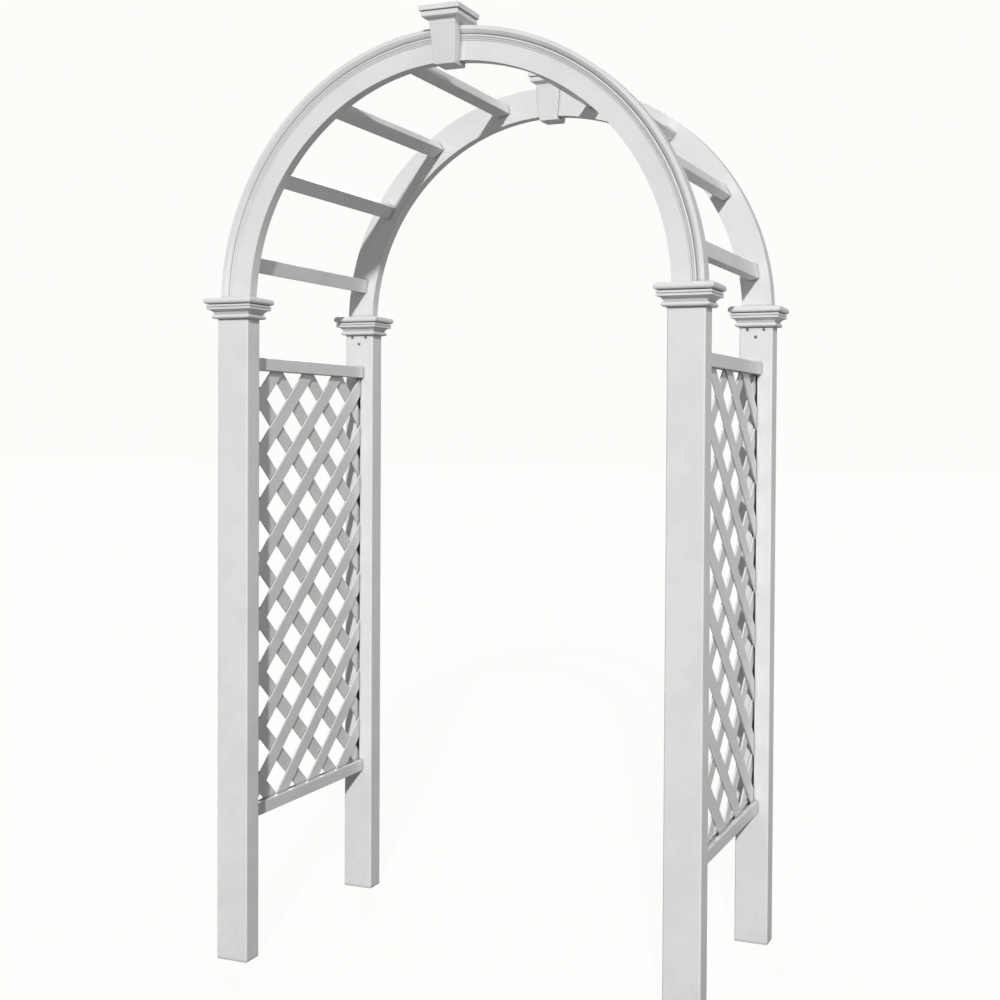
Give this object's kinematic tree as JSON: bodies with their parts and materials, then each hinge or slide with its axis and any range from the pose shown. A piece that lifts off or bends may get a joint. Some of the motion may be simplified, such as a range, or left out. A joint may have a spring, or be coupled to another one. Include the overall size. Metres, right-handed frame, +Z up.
{
  "type": "garden arch",
  "caption": "Free-standing white garden arch with square-cut posts, collar capitals, twin half-round arches, cross rungs, keystones and diagonal lattice side panels.",
  "frame": {"origin": "on the ground, at the middle of the four posts", "axes": "+X across the way through, +Y from the front arch to the back arch, +Z up"},
  "size_m": [1.3238, 0.7058, 2.3139],
  "materials": {
    "white_vinyl": "satin",
    "insert_plastic": "matt",
    "screw_steel": "zinc plated"
  },
  "bodies": {
    "root": {"arch_back_left_half": "white_vinyl", "arch_back_right_half": "white_vinyl", "arch_front_left_half": "white_vinyl", "arch_front_right_half": "white_vinyl", "bottom_rail_left": "white_vinyl", "bottom_rail_right": "white_vinyl", "capital_back_left": "white_vinyl", "capital_back_right": "white_vinyl", "capital_front_left": "white_vinyl", "capital_front_right": "white_vinyl", "crown_screws_back": "screw_steel", "crown_screws_front": "screw_steel", "crown_splice_back": "insert_plastic", "crown_splice_front": "insert_plastic", "keystone_back": "white_vinyl", "keystone_cap_back": "white_vinyl", "keystone_cap_front": "white_vinyl", "keystone_front": "white_vinyl", "lattice_left_inner": "white_vinyl", "lattice_left_outer": "white_vinyl", "lattice_right_inner": "white_vinyl", "lattice_right_outer": "white_vinyl", "leg_screws_back_left": "screw_steel", "leg_screws_back_right": "screw_steel", "leg_screws_front_left": "screw_steel", "leg_screws_front_right": "screw_steel", "leg_sleeve_back_left": "insert_plastic", "leg_sleeve_back_right": "insert_plastic", "leg_sleeve_front_left": "insert_plastic", "leg_sleeve_front_right": "insert_plastic", "post_back_left": "white_vinyl", "post_back_right": "white_vinyl", "post_front_left": "white_vinyl", "post_front_right": "white_vinyl", "rung_left_1": "white_vinyl", "rung_left_2": "white_vinyl", "rung_left_3": "white_vinyl", "rung_left_4": "white_vinyl", "rung_right_1": "white_vinyl", "rung_right_2": "white_vinyl", "rung_right_3": "white_vinyl", "rung_right_4": "white_vinyl", "top_rail_left": "white_vinyl", "top_rail_right": "white_vinyl"}
  },
  "joints": []
}
